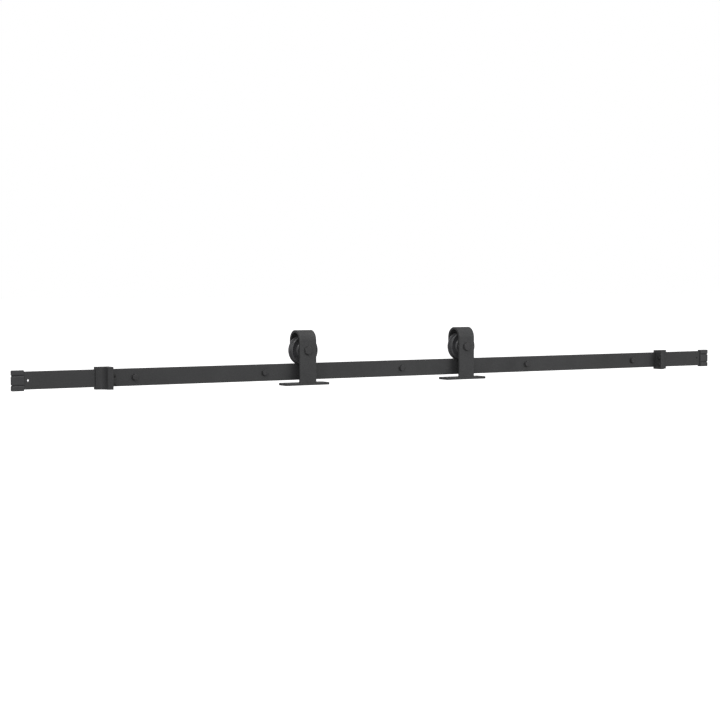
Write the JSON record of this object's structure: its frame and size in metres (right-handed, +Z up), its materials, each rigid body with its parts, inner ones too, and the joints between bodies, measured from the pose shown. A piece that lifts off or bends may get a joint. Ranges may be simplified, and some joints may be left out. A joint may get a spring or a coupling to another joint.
{
  "type": "sliding barn door hardware",
  "caption": "Flat-bar sliding door rail with wheeled top-mount strap hangers, clamp-on end stops, end caps and wall spacers with hex-head screws.",
  "frame": {"origin": "centre of the middle spacer's face on the wall, at the rail's mid-height and mid-length", "axes": "+X along the rail to the right as seen from the room, +Y into the wall, +Z up"},
  "size_m": [2.025, 0.1178, 0.1322],
  "materials": {
    "powder_coat": "matte fine-textured powder coat, charcoal",
    "black_oxide_steel": "satin black-coated steel fasteners",
    "fastener_steel": "turned steel, dull",
    "wheel_nylon": "moulded black nylon, satin",
    "stop_rubber": "matte black rubber",
    "cap_plastic": "moulded charcoal plastic, matte",
    "bearing_steel": "ground bearing steel"
  },
  "bodies": {
    "rail_assembly": {"rail": "powder_coat", "wall_spacers": "powder_coat", "coach_washers": "black_oxide_steel", "coach_screws": "black_oxide_steel", "end_cap_left": "cap_plastic", "stop_body_left": "powder_coat", "stop_grub_screws_left": "black_oxide_steel", "stop_buffers_left": "stop_rubber", "end_cap_right": "cap_plastic", "stop_body_right": "powder_coat", "stop_grub_screws_right": "black_oxide_steel", "stop_buffers_right": "stop_rubber"},
    "left_hanger": {"hanger_strap_left": "powder_coat", "door_plate_left": "powder_coat", "plate_weld_left": "powder_coat", "axle_bolt_left": "black_oxide_steel", "axle_washer_left": "black_oxide_steel", "axle_lock_nut_left": "black_oxide_steel", "axle_bushing_front_left": "fastener_steel", "axle_bushing_rear_left": "fastener_steel", "bearing_inner_ring_left": "bearing_steel"},
    "left_wheel": {"wheel_left": "wheel_nylon", "bearing_outer_ring_left": "bearing_steel", "bearing_balls_left": "bearing_steel", "bearing_shields_left": "bearing_steel"},
    "right_hanger": {"hanger_strap_right": "powder_coat", "door_plate_right": "powder_coat", "plate_weld_right": "powder_coat", "axle_bolt_right": "black_oxide_steel", "axle_washer_right": "black_oxide_steel", "axle_lock_nut_right": "black_oxide_steel", "axle_bushing_front_right": "fastener_steel", "axle_bushing_rear_right": "fastener_steel", "bearing_inner_ring_right": "bearing_steel"},
    "right_wheel": {"wheel_right": "wheel_nylon", "bearing_outer_ring_right": "bearing_steel", "bearing_balls_right": "bearing_steel", "bearing_shields_right": "bearing_steel"}
  },
  "joints": [
    {"name": "left_hanger_roll", "type": "slide", "parent": "rail_assembly", "child": "left_hanger", "axis": [1, 0, 0], "range_m": [-0.4727, 0.6147]},
    {"name": "right_hanger_roll", "type": "slide", "parent": "rail_assembly", "child": "right_hanger", "axis": [1, 0, 0], "range_m": [-0.4727, 0.6147]},
    {"name": "left_wheel_spin", "type": "hinge", "parent": "left_hanger", "child": "left_wheel", "pos_m": [-0.28, -0.043, 0.0507], "axis": [0, 1, 0], "continuous": true},
    {"name": "right_wheel_spin", "type": "hinge", "parent": "right_hanger", "child": "right_wheel", "pos_m": [0.181, -0.043, 0.0507], "axis": [0, 1, 0], "continuous": true}
  ],
  "couplings": [
    {"joint": "right_hanger_roll", "follows": "left_hanger_roll", "ratio": 1},
    {"joint": "left_wheel_spin", "follows": "left_hanger_roll", "rad_per_m": 32.895},
    {"joint": "right_wheel_spin", "follows": "left_hanger_roll", "rad_per_m": 32.895}
  ]
}
